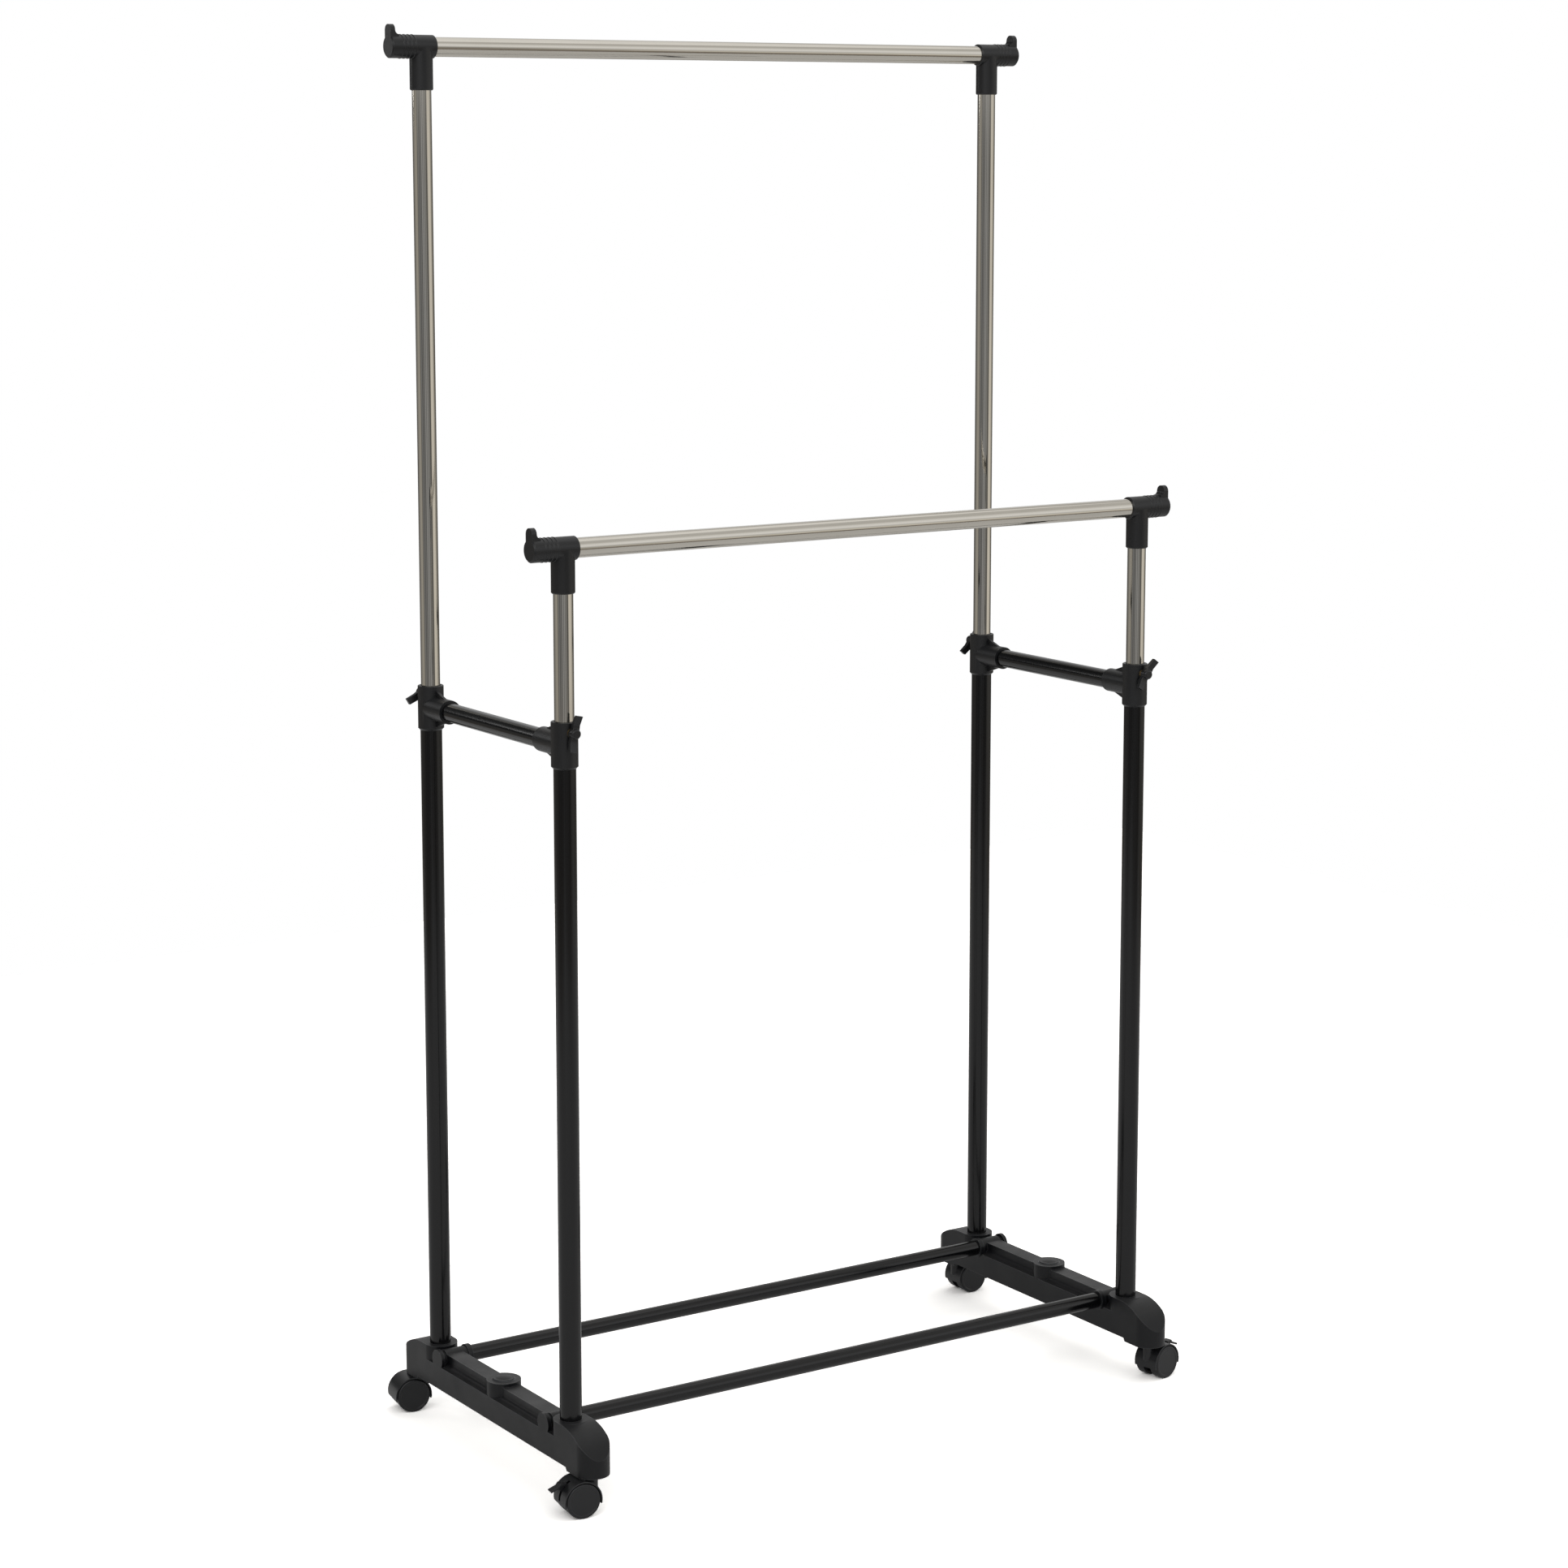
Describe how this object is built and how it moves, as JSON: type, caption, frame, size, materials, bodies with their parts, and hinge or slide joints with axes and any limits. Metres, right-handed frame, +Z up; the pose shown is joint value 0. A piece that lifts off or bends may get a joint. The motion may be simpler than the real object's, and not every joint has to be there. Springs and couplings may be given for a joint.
{
  "type": "rolling clothes rack",
  "caption": "Free-standing two-tier clothes rack: a high back rail and a low front rail on telescoping uprights with wing-knob clamps, over two moulded bases on hooded swivel casters.",
  "frame": {"origin": "on the floor, at the middle of the four posts", "axes": "+Z up, X along the hanging rails, -Y towards the low front tier, +Y towards the high back tier"},
  "size_m": [0.8931, 0.4451, 1.6337],
  "materials": {
    "black_plastic": "satin moulded plastic, fine grain",
    "black_enamel": "glossy black enamel",
    "bright_chrome": "bright warm chrome plate",
    "zinc_steel": "zinc plated",
    "brass": "plain",
    "caster_plastic": "satin moulded plastic",
    "wheel_nylon": "satin nylon"
  },
  "bodies": {
    "root": {"left_base": "black_plastic", "right_base": "black_plastic", "left_base_plug": "black_plastic", "right_base_plug": "black_plastic", "front_base_rail": "black_enamel", "back_base_rail": "black_enamel", "left_cross_tube": "black_enamel", "right_cross_tube": "black_enamel", "clamp_inserts": "brass", "stem_bushes": "zinc_steel", "left_front_post": "black_enamel", "left_front_clamp": "black_plastic", "left_back_post": "black_enamel", "left_back_clamp": "black_plastic", "right_front_post": "black_enamel", "right_front_clamp": "black_plastic", "right_back_post": "black_enamel", "right_back_clamp": "black_plastic"},
    "front_tier": {"front_hanging_rail": "bright_chrome", "left_front_upright": "bright_chrome", "left_front_tee": "black_plastic", "right_front_upright": "bright_chrome", "right_front_tee": "black_plastic"},
    "back_tier": {"back_hanging_rail": "bright_chrome", "left_back_upright": "bright_chrome", "left_back_tee": "black_plastic", "right_back_upright": "bright_chrome", "right_back_tee": "black_plastic"},
    "left_front_knob": {"left_front_wing_knob": "black_plastic", "left_front_clamp_screw": "zinc_steel"},
    "left_front_caster": {"left_front_caster_hood": "caster_plastic", "left_front_caster_stem": "zinc_steel", "left_front_caster_axle": "zinc_steel"},
    "left_front_inner_wheel": {"left_front_inner_wheel": "wheel_nylon"},
    "left_front_outer_wheel": {"left_front_outer_wheel": "wheel_nylon"},
    "left_front_brake": {"left_front_brake_lever": "caster_plastic"},
    "left_back_knob": {"left_back_wing_knob": "black_plastic", "left_back_clamp_screw": "zinc_steel"},
    "left_back_caster": {"left_back_caster_hood": "caster_plastic", "left_back_caster_stem": "zinc_steel", "left_back_caster_axle": "zinc_steel"},
    "left_back_inner_wheel": {"left_back_inner_wheel": "wheel_nylon"},
    "left_back_outer_wheel": {"left_back_outer_wheel": "wheel_nylon"},
    "right_front_knob": {"right_front_wing_knob": "black_plastic", "right_front_clamp_screw": "zinc_steel"},
    "right_front_caster": {"right_front_caster_hood": "caster_plastic", "right_front_caster_stem": "zinc_steel", "right_front_caster_axle": "zinc_steel"},
    "right_front_inner_wheel": {"right_front_inner_wheel": "wheel_nylon"},
    "right_front_outer_wheel": {"right_front_outer_wheel": "wheel_nylon"},
    "right_front_brake": {"right_front_brake_lever": "caster_plastic"},
    "right_back_knob": {"right_back_wing_knob": "black_plastic", "right_back_clamp_screw": "zinc_steel"},
    "right_back_caster": {"right_back_caster_hood": "caster_plastic", "right_back_caster_stem": "zinc_steel", "right_back_caster_axle": "zinc_steel"},
    "right_back_inner_wheel": {"right_back_inner_wheel": "wheel_nylon"},
    "right_back_outer_wheel": {"right_back_outer_wheel": "wheel_nylon"}
  },
  "joints": [
    {"name": "front_tier_slide", "type": "slide", "parent": "root", "child": "front_tier", "axis": [0, 0, 1], "range_m": [-0.139, 0.538]},
    {"name": "back_tier_slide", "type": "slide", "parent": "root", "child": "back_tier", "axis": [0, 0, 1], "range_m": [-0.677, 0]},
    {"name": "left_front_knob_turn", "type": "hinge", "parent": "root", "child": "left_front_knob", "pos_m": [-0.395, -0.18, 0.8721], "axis": [0, -1, 0], "range_deg": [0, 540]},
    {"name": "left_front_caster_swivel", "type": "hinge", "parent": "root", "child": "left_front_caster", "pos_m": [-0.395, -0.201, 0.0441], "axis": [0, 0, 1], "continuous": true},
    {"name": "left_front_inner_wheel_spin", "type": "hinge", "parent": "left_front_caster", "child": "left_front_inner_wheel", "pos_m": [-0.41051, -0.18781, 0.02], "axis": [-0.1219, -0.9925, 0], "continuous": true},
    {"name": "left_front_outer_wheel_spin", "type": "hinge", "parent": "left_front_caster", "child": "left_front_outer_wheel", "pos_m": [-0.41324, -0.21005, 0.02], "axis": [-0.1219, -0.9925, 0], "continuous": true},
    {"name": "left_front_brake_press", "type": "hinge", "parent": "left_front_caster", "child": "left_front_brake", "pos_m": [-0.42139, -0.19776, 0.02722], "axis": [-0.1219, -0.9925, 0], "range_deg": [0, 15]},
    {"name": "left_back_knob_turn", "type": "hinge", "parent": "root", "child": "left_back_knob", "pos_m": [-0.395, 0.18, 0.8721], "axis": [0, 1, 0], "range_deg": [0, 540]},
    {"name": "left_back_caster_swivel", "type": "hinge", "parent": "root", "child": "left_back_caster", "pos_m": [-0.395, 0.201, 0.0441], "axis": [0, 0, 1], "continuous": true},
    {"name": "left_back_inner_wheel_spin", "type": "hinge", "parent": "left_back_caster", "child": "left_back_inner_wheel", "pos_m": [-0.41369, 0.19292, 0.02], "axis": [-0.1736, -0.9848, 0], "continuous": true},
    {"name": "left_back_outer_wheel_spin", "type": "hinge", "parent": "left_back_caster", "child": "left_back_outer_wheel", "pos_m": [-0.4098, 0.21498, 0.02], "axis": [-0.1736, -0.9848, 0], "continuous": true},
    {"name": "right_front_knob_turn", "type": "hinge", "parent": "root", "child": "right_front_knob", "pos_m": [0.395, -0.18, 0.8721], "axis": [0, -1, 0], "range_deg": [0, 540]},
    {"name": "right_front_caster_swivel", "type": "hinge", "parent": "root", "child": "right_front_caster", "pos_m": [0.395, -0.201, 0.0441], "axis": [0, 0, 1], "continuous": true},
    {"name": "right_front_inner_wheel_spin", "type": "hinge", "parent": "right_front_caster", "child": "right_front_inner_wheel", "pos_m": [0.4093, -0.18651, 0.02], "axis": [-0.2079, 0.9781, 0], "continuous": true},
    {"name": "right_front_outer_wheel_spin", "type": "hinge", "parent": "right_front_caster", "child": "right_front_outer_wheel", "pos_m": [0.41396, -0.20842, 0.02], "axis": [-0.2079, 0.9781, 0], "continuous": true},
    {"name": "right_front_brake_press", "type": "hinge", "parent": "right_front_caster", "child": "right_front_brake", "pos_m": [0.421, -0.19547, 0.02722], "axis": [-0.2079, 0.9781, 0], "range_deg": [0, 15]},
    {"name": "right_back_knob_turn", "type": "hinge", "parent": "root", "child": "right_back_knob", "pos_m": [0.395, 0.18, 0.8721], "axis": [0, 1, 0], "range_deg": [0, 540]},
    {"name": "right_back_caster_swivel", "type": "hinge", "parent": "root", "child": "right_back_caster", "pos_m": [0.395, 0.201, 0.0441], "axis": [0, 0, 1], "continuous": true},
    {"name": "right_back_inner_wheel_spin", "type": "hinge", "parent": "right_back_caster", "child": "right_back_inner_wheel", "pos_m": [0.412, 0.1898, 0.02], "axis": [0, 1, 0], "continuous": true},
    {"name": "right_back_outer_wheel_spin", "type": "hinge", "parent": "right_back_caster", "child": "right_back_outer_wheel", "pos_m": [0.412, 0.2122, 0.02], "axis": [0, 1, 0], "continuous": true}
  ]
}
